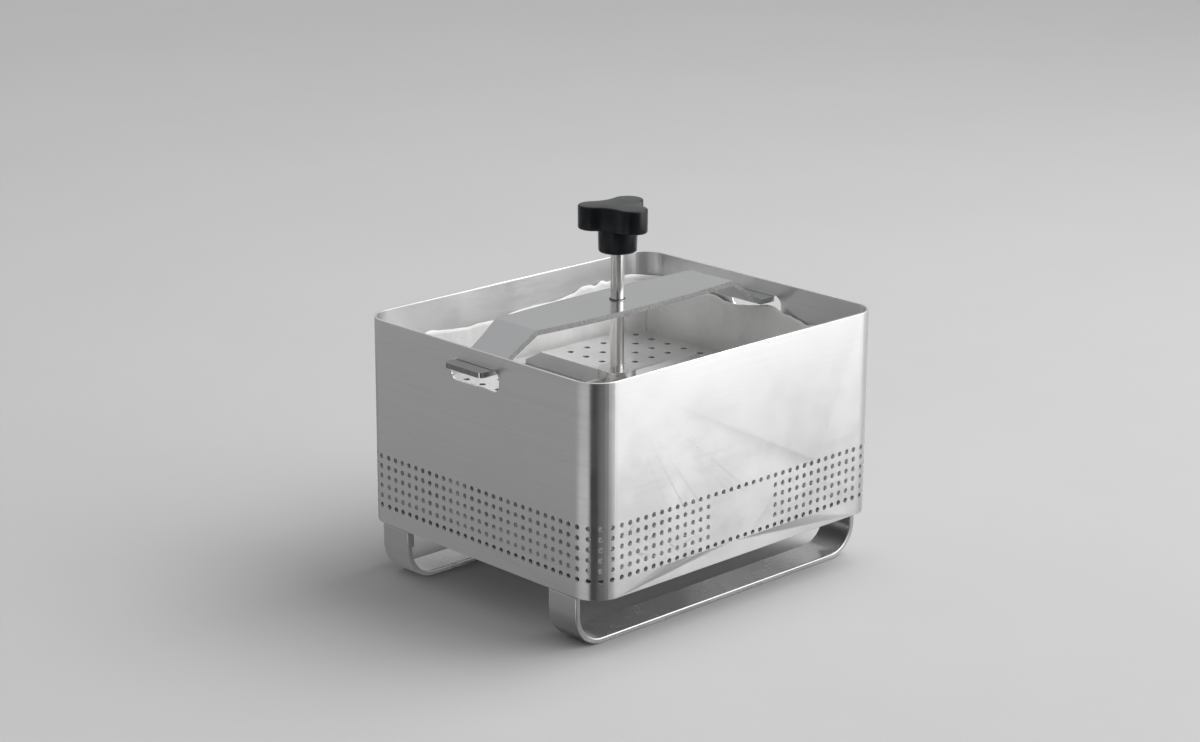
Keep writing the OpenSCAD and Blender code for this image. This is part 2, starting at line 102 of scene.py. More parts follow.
class Wiring:
    """Adds nodes to one node tree and joins their sockets."""

    def __init__(self, tree: bpy.types.NodeTree) -> None:
        """Keeps the tree that the nodes go into."""
        self.tree = tree

    def add(self, kind: str, settings: dict[str, object] | None = None, **inputs: Feed) -> bpy.types.Node:
        """Adds a node.

        Args:
            kind: The node's type name, without ShaderNode.
            settings: The node's own properties.
            **inputs: Values or output sockets by input name, with _ for a blank.

        Returns:
            The new node.
        """
        node = self.tree.nodes.new("ShaderNode" + kind)
        for name, value in (settings or {}).items():
            setattr(node, name, value)
        for name, value in inputs.items():
            self.feed(node.inputs[name.replace("_", " ")], value)
        return node

    def feed(self, socket: bpy.types.NodeSocket, value: Feed) -> None:
        """Feeds an input.

        Args:
            socket: The input.
            value: An output that is linked to it, or the input's own value.
        """
        if isinstance(value, bpy.types.NodeSocket):
            self.tree.links.new(value, socket)
        else:
            socket.default_value = value

    def math(self, operation: str, *values: Feed) -> bpy.types.NodeSocket:
        """Adds a Math node.

        Args:
            operation: The node's operation.
            *values: Numbers or output sockets, in the order of the inputs.

        Returns:
            The result's socket.
        """
        node = self.add("Math", {"operation": operation})
        for socket, value in zip(node.inputs, values):
            self.feed(socket, value)
        return node.outputs[0]

    def dot(self, vector: Feed, direction: Feed) -> bpy.types.NodeSocket:
        """Adds the product of two vectors.

        Args:
            vector: The first vector.
            direction: The second vector, often a direction of length 1.

        Returns:
            The socket of the first vector's length along the second.
        """
        node = self.add("VectorMath", {"operation": "DOT_PRODUCT"})
        self.feed(node.inputs[0], vector)
        self.feed(node.inputs[1], direction)
        return node.outputs["Value"]

    def ramp(
        self, value: Feed, low: float, high: float, to_low: float = 0.0, to_high: float = 1.0
    ) -> bpy.types.NodeSocket:
        """Adds a smooth step.

        Args:
            value: The socket that is read.
            low: Where the step starts.
            high: Where the step ends.
            to_low: The result below the step.
            to_high: The result above the step.

        Returns:
            The result's socket.
        """
        node = self.add(
            "MapRange",
            {"interpolation_type": "SMOOTHSTEP"},
            Value=value,
            From_Min=low,
            From_Max=high,
            To_Min=to_low,
            To_Max=to_high,
        )
        return node.outputs["Result"]

    def scaled(self, vector: Feed, scale: Sequence[float]) -> bpy.types.NodeSocket:
        """Returns the socket of a vector scaled along its axes."""
        return self.add("Mapping", Vector=vector, Scale=scale).outputs["Vector"]

    def noise(self, vector: Feed, scale: Feed, detail: float = 2.0) -> bpy.types.NodeSocket:
        """Returns the socket of a noise pattern between 0 and 1."""
        node = self.add("TexNoise", Vector=vector, Scale=scale, Detail=detail)
        return node.outputs["Fac"]

    def blend(self, share: Feed, first: Feed, second: Feed) -> bpy.types.NodeSocket:
        """Mixes two colours.

        Args:
            share: Socket or number, 0 for the first colour and 1 for the second.
            first: Colour or socket.
            second: Colour or socket.

        Returns:
            The mixed colour's socket.
        """
        node = self.add("Mix", {"data_type": "RGBA"})
        self.feed(node.inputs[0], share)
        self.feed(node.inputs[6], first)
        self.feed(node.inputs[7], second)
        return node.outputs[2]

    def group(self, tree: bpy.types.NodeTree, **inputs: Feed) -> bpy.types.Node:
        """Places a node group.

        Args:
            tree: The group's tree.
            **inputs: Values or output sockets by input name, with _ for a blank.

        Returns:
            The group's node.
        """
        node = self.tree.nodes.new("ShaderNodeGroup")
        node.node_tree = tree
        for name, value in inputs.items():
            self.feed(node.inputs[name.replace("_", " ")], value)
        return node


def rgba(value: float, warm: float = 0.0) -> Colour:
    """Returns a grey as a colour, made warmer above zero and cooler below it."""
    return (value * (1 + warm), value, value * (1 - warm), 1.0)


def toned(colour: Colour, share: float) -> Colour:
    """Returns a colour made lighter or darker by a share."""
    return (*(c * share for c in colour[:3]), 1.0)


class EffectGroup:
    """A shader node group, built once and shared by the materials that need it."""

    name = "effect"
    inputs: tuple[tuple[str, str, object], ...] = ()
    outputs: tuple[tuple[str, str], ...] = ()

    def tree(self) -> bpy.types.NodeTree:
        """Finds the group's node tree, and builds it at the first call.

        Returns:
            The tree.
        """
        found = bpy.data.node_groups.get(self.name)
        if found:
            return found
        tree = bpy.data.node_groups.new(self.name, "ShaderNodeTree")
        for name, kind, value in self.inputs:
            socket = tree.interface.new_socket(name, in_out="INPUT", socket_type="NodeSocket" + kind)
            if value is not None:
                socket.default_value = value
        for name, kind in self.outputs:
            tree.interface.new_socket(name, in_out="OUTPUT", socket_type="NodeSocket" + kind)
        wiring = Wiring(tree)
        given = tree.nodes.new("NodeGroupInput").outputs
        result = tree.nodes.new("NodeGroupOutput").inputs
        self.wire(wiring, given, result)
        return tree

    def wire(self, w: Wiring, given: Sockets, result: Sockets) -> None:
        """Adds the nodes between the group's inputs and outputs.

        Args:
            w: The group's wiring.
            given: What the group takes.
            result: What the group puts out.
        """
        raise NotImplementedError


class BrushedGrain(EffectGroup):
    """Fine parallel scratches: the first coordinate runs across them."""

    name = "brushed_grain"
    inputs = (("Vector", "Vector", None), ("Fineness", "Float", 2600.0), ("Run", "Float", 45.0))
    outputs = (("Streaks", "Float"), ("Height", "Float"))

    def wire(self, w: Wiring, given: Sockets, result: Sockets) -> None:
        """Mixes hairline scratches with broader bands.

        Args:
            w: The group's wiring.
            given: What the group takes.
            result: What the group puts out.
        """
        parts = w.add("SeparateXYZ", Vector=given["Vector"]).outputs
        across = w.math("MULTIPLY", parts["X"], given["Fineness"])
        along = w.math("MULTIPLY", parts["Y"], given["Run"])
        fine = w.noise(w.add("CombineXYZ", X=across, Y=along).outputs[0], 1.0, 3.0)
        wide_across = w.math("MULTIPLY", across, 0.13)
        wide_along = w.math("MULTIPLY", along, 0.3)
        wide = w.noise(w.add("CombineXYZ", X=wide_across, Y=wide_along, Z=4.0).outputs[0], 1.0, 2.0)
        both = w.math("MULTIPLY_ADD", wide, 0.55, w.math("MULTIPLY", fine, 0.45))
        w.feed(result["Streaks"], w.ramp(both, 0.34, 0.66))
        w.feed(result["Height"], fine)


class HandlingMarks(EffectGroup):
    """Soft patches where handling and washing have dulled a surface."""

    name = "handling_marks"
    inputs = (("Vector", "Vector", None), ("Scale", "Float", 30.0))
    outputs = (("Patches", "Float"),)

    def wire(self, w: Wiring, given: Sockets, result: Sockets) -> None:
        """Lays two sizes of soft noise over each other.

        Args:
            w: The group's wiring.
            given: What the group takes.
            result: What the group puts out.
        """
        large = w.noise(given["Vector"], given["Scale"], 2.0)
        small = w.noise(given["Vector"], w.math("MULTIPLY", given["Scale"], 5.3), 3.0)
        w.feed(result["Patches"], w.math("MULTIPLY_ADD", small, 0.35, w.math("MULTIPLY", large, 0.65)))


class EdgeWear(EffectGroup):
    """Where a surface turns over an edge, broken up by noise."""

    name = "edge_wear"
    inputs = (("Vector", "Vector", None), ("Radius", "Float", 0.0006))
    outputs = (("Mask", "Float"),)

    def wire(self, w: Wiring, given: Sockets, result: Sockets) -> None:
        """Compares the surface's normal with a rounded one.

        Args:
            w: The group's wiring.
            given: What the group takes.
            result: What the group puts out.
        """
        rounded = w.add("Bevel", {"samples": 4}, Radius=given["Radius"]).outputs["Normal"]
        true = w.add("NewGeometry").outputs["Normal"]
        turned = w.ramp(w.dot(rounded, true), 0.98, 0.8)
        breaks = w.ramp(w.noise(given["Vector"], 900.0, 3.0), 0.35, 0.7)
        w.feed(result["Mask"], w.math("MULTIPLY", turned, breaks))


class PlainWeave(EffectGroup):
    """Warp and weft threads of an open cotton weave, from a map in metres."""

    name = "plain_weave"
    inputs = (("Vector", "Vector", None), ("Threads", "Float", 1100.0))
    outputs = (("Height", "Float"), ("Gaps", "Float"))

    def wire(self, w: Wiring, given: Sockets, result: Sockets) -> None:
        """Crosses two sets of threads that waver a little and pass over and under.

        Args:
            w: The group's wiring.
            given: What the group takes.
            result: What the group puts out.
        """
        waver = w.add("TexNoise", Vector=given["Vector"], Scale=170.0, Detail=2.0).outputs["Color"]
        shifted = w.add("VectorMath", {"operation": "MULTIPLY_ADD"})
        w.feed(shifted.inputs[0], waver)
        shifted.inputs[1].default_value = (0.0005, 0.0005, 0.0)
        w.feed(shifted.inputs[2], given["Vector"])
        parts = w.add("SeparateXYZ", Vector=shifted.outputs[0]).outputs
        turns = w.math("MULTIPLY", given["Threads"], math.pi)
        warp = w.math("ABSOLUTE", w.math("SINE", w.math("MULTIPLY", parts["X"], turns)))
        weft = w.math("ABSOLUTE", w.math("SINE", w.math("MULTIPLY", parts["Y"], turns)))
        w.feed(result["Height"], w.math("MAXIMUM", warp, weft))
        # Gaps: where the cloth is darkened between the threads, a painted shade.
        w.feed(result["Gaps"], w.math("SUBTRACT", 1.0, w.math("MAXIMUM", warp, weft)))


GRAIN = BrushedGrain()
MARKS = HandlingMarks()
WEAR = EdgeWear()
WEAVE = PlainWeave()


# ---- Finishes ----


def new_material(name: str) -> tuple[bpy.types.Material, Wiring, bpy.types.Node]:
    """Makes an empty material.

    Args:
        name: The material's name.

    Returns:
        The material, its wiring and its Principled BSDF.
    """
    material = bpy.data.materials.new(name)
    material.use_nodes = True
    tree = material.node_tree
    return material, Wiring(tree), tree.nodes["Principled BSDF"]


def shine_along_grain(
    w: Wiring, shader: bpy.types.Node, anisotropy: float, height: Feed, bump: float, depth: float
) -> None:
    """Makes a shader metal, with its shine drawn along the grain map and its scratches raised.

    Args:
        w: The material's wiring.
        shader: Its Principled BSDF.
        anisotropy: How far the shine is drawn out.
        height: The scratches' height, between 0 and 1.
        bump: How strongly the scratches show.
        depth: How deep they are, in metres.
    """
    shader.inputs["Metallic"].default_value = 1.0
    shader.inputs["Anisotropic"].default_value = anisotropy
    tangent = w.add("Tangent", {"direction_type": "UV_MAP", "uv_map": GRAIN_MAP})
    w.feed(shader.inputs["Tangent"], tangent.outputs["Tangent"])
    raised = w.add("Bump", Strength=bump, Distance=depth, Height=height)
    w.feed(shader.inputs["Normal"], raised.outputs["Normal"])


@dataclass(frozen=True)
class BrushedSteel:
    """Stainless steel with a brushed grain, drawn on the piece's grain map."""

    name: str
    shade: float = 0.66
    warm: float = 0.0
    roughness: float = 0.34
    anisotropy: float = 0.8
    fineness: float = 5000.0
    run: float = 30.0
    contrast: float = 0.03
    bump: float = 0.02
    edges: EdgeLook = EdgeLook.PLAIN

    def make(self) -> bpy.types.Material:
        """Builds the finish.

        Returns:
            The material.
        """
        material, w, shader = new_material(self.name)
        grain_map = w.add("UVMap", {"uv_map": GRAIN_MAP}).outputs["UV"]
        places = w.add("TexCoord").outputs
        grain = w.group(GRAIN.tree(), Vector=grain_map, Fineness=self.fineness, Run=self.run).outputs
        marks = w.group(MARKS.tree(), Vector=places["Object"], Scale=26.0).outputs["Patches"]
        dark = rgba(self.shade * (1 - self.contrast), self.warm)
        light = rgba(self.shade * (1 + self.contrast * 0.6), self.warm)
        colour = w.blend(grain["Streaks"], dark, light)
        swing = 1.6 * self.contrast
        rough = w.math("MULTIPLY_ADD", grain["Streaks"], -swing, self.roughness + swing / 2)
        rough = w.math("ADD", rough, w.ramp(marks, 0.35, 0.65, -0.02, 0.035))
        facing = w.add("SeparateXYZ", Vector=places["Normal"]).outputs
        # Faces that point up, such as the rim and the ledges' tops, are painted near white and made rougher:
        # a painted highlight where light from above falls.
        if self.edges is EdgeLook.DEBURRED:
            upward = w.ramp(facing["Z"], 0.5, 0.8)
            colour = w.blend(upward, colour, rgba(0.92))
            rough = w.add("Mix", Factor=upward, A=rough, B=0.5).outputs[0]
        if self.edges is EdgeLook.PITTED:
            level = w.math("MAXIMUM", w.math("ABSOLUTE", facing["X"]), w.math("ABSOLUTE", facing["Y"]))
            cut = w.ramp(level, 0.9, 0.97)
            pits = w.noise(w.scaled(places["Object"], (1.0, 1.0, 0.35)), 1500.0, 4.0)
            colour = w.blend(cut, colour, w.blend(pits, rgba(self.shade * 0.12), rgba(self.shade * 0.75)))
            rough = w.add("Mix", Factor=cut, A=rough, B=0.55).outputs[0]
        w.feed(shader.inputs["Base Color"], colour)
        w.feed(shader.inputs["Roughness"], rough)
        shine_along_grain(w, shader, self.anisotropy, grain["Height"], self.bump, 0.0002)
        return material


@dataclass(frozen=True)
class SmoothMetal:
    """A turned or rolled metal: polished rod, bronze or brass."""

    name: str
    colour: Colour
    roughness: float
    ring_contrast: float = 0.04
    anisotropy: float = 0.0
    bump: float = 0.01

    def make(self) -> bpy.types.Material:
        """Builds the finish.

        Returns:
            The material.
        """
        material, w, shader = new_material(self.name)
        grain_map = w.add("UVMap", {"uv_map": GRAIN_MAP}).outputs["UV"]
        places = w.add("TexCoord").outputs["Object"]
        grain = w.group(GRAIN.tree(), Vector=grain_map, Fineness=3500.0, Run=0.3).outputs
        marks = w.group(MARKS.tree(), Vector=places, Scale=60.0).outputs["Patches"]
        dull = toned(self.colour, 1 - self.ring_contrast)
        w.feed(shader.inputs["Base Color"], w.blend(grain["Streaks"], dull, self.colour))
        rough = w.ramp(marks, 0.3, 0.7, self.roughness - 0.02, self.roughness + 0.05)
        rough = w.math("MULTIPLY_ADD", grain["Streaks"], self.ring_contrast, rough)
        w.feed(shader.inputs["Roughness"], rough)
        shine_along_grain(w, shader, self.anisotropy, grain["Height"], self.bump, 0.0001)
        return material


@dataclass(frozen=True)
class MouldedPlastic:
    """Satin moulded plastic with a fine texture and slightly rubbed edges."""

    name: str
    colour: Colour
    rubbed: Colour
    roughness: float

    def make(self) -> bpy.types.Material:
        """Builds the finish.

        Returns:
            The material.
        """
        material, w, shader = new_material(self.name)
        places = w.add("TexCoord").outputs["Object"]
        marks = w.group(MARKS.tree(), Vector=places, Scale=45.0).outputs["Patches"]
        worn = w.group(WEAR.tree(), Vector=places, Radius=0.0009).outputs["Mask"]
        body = w.blend(marks, toned(self.colour, 0.8), self.colour)
        w.feed(shader.inputs["Base Color"], w.blend(w.math("MULTIPLY", worn, 0.5), body, self.rubbed))
        rough = w.ramp(marks, 0.3, 0.7, self.roughness - 0.04, self.roughness + 0.06)
        w.feed(shader.inputs["Roughness"], w.math("MULTIPLY_ADD", worn, -0.08, rough))
        shader.inputs["Specular IOR Level"].default_value = 0.22
        texture = w.noise(places, 1800.0, 3.0)
        bump = w.add("Bump", Strength=0.05, Distance=0.0001, Height=texture)
        w.feed(shader.inputs["Normal"], bump.outputs["Normal"])
        return material


@dataclass(frozen=True)
class Rubber:
    """Matt black rubber."""

    name: str
    colour: Colour

    def make(self) -> bpy.types.Material:
        """Builds the finish.

        Returns:
            The material.
        """
        material, w, shader = new_material(self.name)
        places = w.add("TexCoord").outputs["Object"]
        spots = w.noise(places, 2500.0, 2.0)
        dusty = w.blend(w.ramp(spots, 0.5, 0.8), self.colour, toned(self.colour, 2.2))
        w.feed(shader.inputs["Base Color"], dusty)
        w.feed(shader.inputs["Roughness"], w.ramp(spots, 0.3, 0.7, 0.5, 0.65))
        return material


@dataclass(frozen=True)
class Cotton:
    """Thin bleached cotton in a plain weave, drawn on the sheet's own map."""

    name: str
    colour: Colour
    shaded: Colour
    threads: float = 1000.0

    def make(self) -> bpy.types.Material:
        """Builds the finish.

        Returns:
            The material.
        """
        material, w, shader = new_material(self.name)
        flat = w.add("UVMap", {"uv_map": CLOTH_MAP}).outputs["UV"]
        weave = w.group(WEAVE.tree(), Vector=flat, Threads=self.threads).outputs
        marks = w.group(MARKS.tree(), Vector=flat, Scale=38.0).outputs["Patches"]
        # Dull patches blend at random towards the shaded tone; the weave's gaps are darkened towards it too,
        # as painted shade between the threads.
        body = w.blend(w.ramp(marks, 0.3, 0.7), self.shaded, self.colour)
        shaded_gaps = w.blend(w.math("MULTIPLY", weave["Gaps"], 0.35), body, self.shaded)
        w.feed(shader.inputs["Base Color"], shaded_gaps)
        w.feed(shader.inputs["Roughness"], w.ramp(marks, 0.2, 0.8, 0.82, 0.95))
        shader.inputs["Specular IOR Level"].default_value = 0.2
        shader.inputs["Sheen Weight"].default_value = 0.15
        bump = w.add("Bump", Strength=0.35, Distance=0.0002, Height=weave["Height"])
        w.feed(shader.inputs["Normal"], bump.outputs["Normal"])
        return material


# ---- Mesh helpers ----


def merged_copy(node: str) -> bmesh.types.BMesh:
    """Copies a CAD node's mesh and joins its loose triangles into flat faces.

    Args:
        node: The CAD node's name.

    Returns:
        The merged mesh.
    """
    bm = bmesh.new()
    bm.from_mesh(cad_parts[node].data)
    bmesh.ops.remove_doubles(bm, verts=bm.verts[:], dist=MERGE_DISTANCE)
    bmesh.ops.dissolve_limit(
        bm, angle_limit=math.radians(0.3), verts=bm.verts[:], edges=bm.edges[:], delimit={"NORMAL"}
    )
    for face in bm.faces:
        face.material_index = 0
    return bm


def turned(profile: Iterable[tuple[float, float]], steps: int = 72) -> bmesh.types.BMesh:
    """Turns a profile round the Z axis.

    Args:
        profile: Radius and height of each point, in millimetres.
        steps: Number of steps round the axis.

    Returns:
        The closed mesh.
    """
    bm = bmesh.new()
    points = [bm.verts.new((r * MM, 0.0, z * MM)) for r, z in profile]
    edges = [bm.edges.new(pair) for pair in zip(points, points[1:])]
    bmesh.ops.spin(
        bm,
        geom=points + edges,
        cent=(0.0, 0.0, 0.0),
        axis=(0.0, 0.0, 1.0),
        angle=math.tau,
        steps=steps,
        use_merge=True,
    )
    bmesh.ops.remove_doubles(bm, verts=bm.verts[:], dist=MERGE_DISTANCE)
    bmesh.ops.recalc_face_normals(bm, faces=bm.faces[:])
    return bm


def closed(profile: Sequence[tuple[float, float]]) -> list[tuple[float, float]]:
    """Returns a profile with its first point repeated at its end."""
    return [*profile, profile[0]]


def sharp_edges(bm: bmesh.types.BMesh, degrees: float) -> list[bmesh.types.BMEdge]:
    """Returns the edges between two faces that turn by more than an angle."""
    limit = math.radians(degrees)
    return [e for e in bm.edges if len(e.link_faces) == 2 and e.calc_face_angle(0.0) > limit]


def round_over(bm: bmesh.types.BMesh, edges: list[bmesh.types.BMEdge], width: float, segments: int) -> None:
    """Bevels chosen edges.

    Args:
        bm: The mesh.
        edges: The edges.
        width: How far the rounding reaches, in millimetres.
        segments: Faces across the rounding.
    """
    bmesh.ops.bevel(
        bm,
        geom=edges,
        offset=width * MM,
        offset_type="OFFSET",
        segments=segments,
        profile=0.5,
        affect="EDGES",
        clamp_overlap=True,
        material=-1,
    )


def ease(
    bm: bmesh.types.BMesh,
    width: float,
    segments: int = 2,
    degrees: float = 40.0,
    keep: Callable[[bmesh.types.BMEdge], bool] = lambda edge: True,
) -> None:
    """Rounds the sharp edges of a mesh.

    Args:
        bm: The mesh.
        width: How far the rounding reaches, in millimetres.
        segments: Faces across the rounding.
        degrees: Edges that turn by more than this are rounded.
        keep: Tells which of these edges are rounded.
    """
    round_over(bm, [e for e in sharp_edges(bm, degrees) if keep(e)], width, segments)


def lay_grain(bm: bmesh.types.BMesh, grain: Grain) -> None:
    """Gives a mesh its grain map: U runs across the brushing and V along it, in metres.

    Args:
        bm: The mesh.
        grain: Which way the brushing runs.
    """
    layer = bm.loops.layers.uv.new(GRAIN_MAP)
    for face in bm.faces:
        normal = face.normal
        middle = face.calc_center_median()
        around = math.atan2(middle.y, middle.x)
        for loop in face.loops:
            p = loop.vert.co
            angle = math.atan2(p.y, p.x)
            angle += math.tau * round((around - angle) / math.tau)
            if grain is Grain.LENGTHWISE:
                if abs(normal.y) > FACING:
                    uv = (p.z + p.x * 0.02, p.x + 0.5)
                else:
                    uv = (p.y, p.x + p.z * (0.5 if abs(normal.x) < FACING else 3.0))
            elif abs(normal.z) > FACING:
                uv = (math.hypot(p.x, p.y), angle * 0.05)
            elif grain is Grain.LEVEL:
                uv = (p.z, angle * 0.1)
            else:
                uv = (p.z, angle * 0.01)
            loop[layer].uv = uv


def finish_piece(
    bm: bmesh.types.BMesh,
    name: str,
    material: bpy.types.Material,
    body: Body,
    node: str,
    sharp: float = 20.0,
) -> bpy.types.Object:
    """Turns a bmesh into a piece that rides on a body and stands for a CAD node.

    Args:
        bm: The finished shape, which is freed.
        name: The piece's name.
        material: Its material.
        body: The body that it rides on.
        node: The CAD node that it replaces.
        sharp: Edges that turn by more than this stay sharp, in degrees.

    Returns:
        The new object.
    """
    for face in bm.faces:
        face.smooth = face.calc_area() < FLAT_AREA
    for edge in sharp_edges(bm, sharp):
        edge.smooth = False
    mesh = bpy.data.meshes.new(name)
    bm.to_mesh(mesh)
    bm.free()
    mesh.materials.append(material)
    piece = bpy.data.objects.new(name, mesh)
    bpy.context.scene.collection.objects.link(piece)
    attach(piece, body.value)
    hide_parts(node)
    LOG.info("%s: %d faces on %s", name, len(mesh.polygons), body.value)
    return piece


def eased_copy(
    node: str,
    name: str,
    material: bpy.types.Material,
    body: Body,
    grain: Grain,
    width: float,
    segments: int = 2,
) -> None:
    """Makes a piece from a CAD node by easing its edges.

    Args:
        node: The CAD node.
        name: The piece's name.
        material: Its metal.
        body: The body that it rides on.
        grain: Which way its brushing runs.
        width: How far its edges are eased, in millimetres.
        segments: Faces across each eased edge.
    """
    bm = merged_copy(node)
    ease(bm, width, segments)
    lay_grain(bm, grain)
    finish_piece(bm, name, material, body, node)


# ---- The box ----


@dataclass
class Box:
    """The sheet box: its wall, its two strap feet, the ledges and the perforated base plate."""

    steel: bpy.types.Material
    strap_steel: bpy.types.Material
    plate_steel: bpy.types.Material
    rim_ease: float = 0.3
    strap_ease: float = 1.1
    ledge_ease: float = 0.2
    hole_ease: float = 0.15
    wall_low: float = 31.5
    holes_high: float = 78.0

    def build(self) -> None:
        """Builds every piece of the box."""
        self.build_wall()
        for side in ("front", "rear"):
            self.build_sheet(f"{side}_foot", self.strap_steel, self.strap_ease, Grain.LENGTHWISE)
        for side in ("front", "rear", "left", "right"):
            self.build_sheet(f"{side}_ledge", self.steel, self.ledge_ease, Grain.LEVEL)
        self.build_sheet("base_plate", self.plate_steel, self.hole_ease, Grain.LENGTHWISE, 1)

    def build_wall(self) -> None:
        """Eases the rim, the slots and the lower edge, and leaves the punched holes crisp."""
        bm = merged_copy("box_wall")
        low, high = self.wall_low * MM + 1e-5, self.holes_high * MM

        def outside_holes(edge: bmesh.types.BMEdge) -> bool:
            """Tells whether an edge lies above or below the rows of holes."""
            return all(v.co.z < low or v.co.z > high for v in edge.verts)

        ease(bm, self.rim_ease, 2, 40.0, outside_holes)
        lay_grain(bm, Grain.LEVEL)
        finish_piece(bm, "wall_sheet", self.steel, Body.BOX, "box_wall")

    def build_sheet(
        self, node: str, material: bpy.types.Material, width: float, grain: Grain, segments: int = 2
    ) -> None:
        """Eases one plain sheet piece of the box.

        Args:
            node: The CAD node.
            material: Its steel.
            width: How far its edges are eased, in millimetres.
            grain: Which way its brushing runs.
            segments: Faces across each eased edge.
        """
        eased_copy(node, f"{node}_sheet", material, Body.BOX, grain, width, segments)


# ---- The cloth ----


def along_line(line: EdgeLine, at: float) -> float:
    """Reads a line's height at a place, with a smooth turn at each of its points.

    Args:
        line: The place and height of each point, in millimetres.
        at: The place that is asked for.

    Returns:
        The height in millimetres.
    """
    if at <= line[0][0]:
        return line[0][1]
    for (x0, z0), (x1, z1) in zip(line, line[1:]):
        if at <= x1:
            t = (at - x0) / (x1 - x0)
            return z0 + (z1 - z0) * t * t * (3 - 2 * t)
    return line[-1][1]


@dataclass
class Liner:
    """The cotton liner: a flat cut folded up along the walls and sewn at its four corners."""

    cotton: bpy.types.Material
    half_length: float = 113.0
    half_width: float = 96.0
    corner: float = 15.0
    offset_x: float = 4.5
    gap: float = 0.3
    thickness: float = 0.35
    turn: float = 3.0
    floor_z: float = 41.4
    rim_z: float = 155.0
    drop: float = 17.0
    wave: float = 4.0
    fold_depth: float = 3.0
    slot_half: float = 20.25
    slot_low: float = 133.9
    dip_run: float = 18.0
    cell: float = 2.4
    rear_edge: EdgeLine = (
        (-100, 137.0), (-84, 134.6), (-71, 135.6), (-66, 136.4), (-58, 135.0), (-50, 134.4), (-38, 133.5),
        (-31, 134.2), (-17, 133.9), (2, 135.4), (20, 136.6), (38, 137.3), (48, 138.1), (57, 141.0),
        (63, 141.0), (66.5, 139.6), (73, 142.1), (78, 140.1), (84, 140.9), (94, 142.2), (112, 141.2),
    )
    right_edge: EdgeLine = (
        (-96, 133.0), (-76, 135.6), (-60, 134.2), (-49, 135.2), (-42, 134.3), (-36, 135.9), (-27, 137.6),
        (-22.5, 138.4), (-19.0, 140.4), (-15.5, 141.2), (-11, 140.8), (-6, 139.7), (-2, 138.3), (7, 136.5),
        (16, 135.6), (23.5, 135.7), (35, 138.0), (57, 138.6), (80, 140.7), (96, 139.6),
    )

    def spot(self, share: float, inset: float) -> tuple[float, float]:
        """Finds a point on a rounded rectangle inside the wall.

        Args:
            share: Share of the way round, from the front wall's left end.
            inset: Distance from the wall, in millimetres.

        Returns:
            The point's x and y from the box's middle, in millimetres.
        """
        a, b, r = self.half_length - inset, self.half_width - inset, self.corner - inset
        sides = (2 * (a - r), math.pi * r / 2, 2 * (b - r), math.pi * r / 2)
        loop = 2 * sum(sides)
        at = (share % 1.0) * loop
        half = 1 if at < loop / 2 else -1
        s = at if half > 0 else at - loop / 2
        if s < sides[0]:
            x, y = s - a + r, -b
        elif s < sides[0] + sides[1]:
            turn = (s - sides[0]) / r
            x, y = a - r + r * math.sin(turn), r - b - r * math.cos(turn)
        elif s < sum(sides[:3]):
            x, y = a, s - sides[0] - sides[1] - b + r
        else:
            turn = (s - sum(sides[:3])) / r
            x, y = a - r + r * math.cos(turn), b - r + r * math.sin(turn)
        return half * x, half * y

    def fold(self, level: float, share: float) -> float:
        """Finds how far the hanging folds stand off the wall.

        Args:
            level: Share of the way up the hanging cloth.
            share: Share of the way round.

        Returns:
            The distance in millimetres.
        """
        slow = 0.3 * math.cos(math.tau * 13 * share)
        quick = 0.2 * math.cos(math.tau * 21 * share + math.radians(50))
        return self.fold_depth * level * (0.5 - slow - quick)

    def edge_height(self, share: float) -> float:
        """Finds the top edge's height, blended round the corners.

        Args:
            share: Share of the way round.

        Returns:
            The height in millimetres.
        """
        x, y = self.spot(share, self.gap)
        end = along_line(self.right_edge, y) if x > 0 else self.plain_edge(share, y, True)
        long = along_line(self.rear_edge, x) if y > 0 else self.plain_edge(share, y, False)
        past_x = abs(x) - self.half_length + self.corner
        past_y = abs(y) - self.half_width + self.corner
        if past_x <= 0:
            return long
        if past_y <= 0:
            return end
        return end + (long - end) * math.atan2(past_y, past_x) / (math.pi / 2)

    def plain_edge(self, share: float, y: float, on_end: bool) -> float:
        """Finds the top edge's height on a hidden stretch.

        Args:
            share: Share of the way round.
            y: Place from front to back, in millimetres.
            on_end: Whether the stretch is on an end wall, where the edge dips below the slot.

        Returns:
            The height in millimetres.
        """
        wave = 0.6 * math.sin(math.tau * 3 * share + math.radians(200))
        wave += 0.4 * math.sin(math.tau * 8 * share + math.radians(30))
        top = self.rim_z - self.drop + self.wave * wave
        beside = min(1.0, max(0.0, (abs(y) - self.slot_half - 4) / self.dip_run))
        dip = 1 - beside if on_end else 0.0
        return top + (self.slot_low - 1.5 - top) * dip * dip * (3 - 2 * dip)

    def creases(self, share: float, height: float, level: float) -> float:
        """Finds how far the small creases stand off, most near the free edge.

        Args:
            share: Share of the way round.
            height: Height in millimetres.
            level: Share of the way up the hanging cloth.

        Returns:
            The distance in millimetres, which may be negative.
        """
        x, y = self.spot(share, 0.0)
        long = noise.noise(Vector((x * 0.09, y * 0.09, height * 0.02)))
        fine = noise.noise(Vector((x * 0.28 + 7, y * 0.28, height * 0.06)))
        return (0.8 * long + 0.45 * fine) * (0.25 + 0.75 * level)

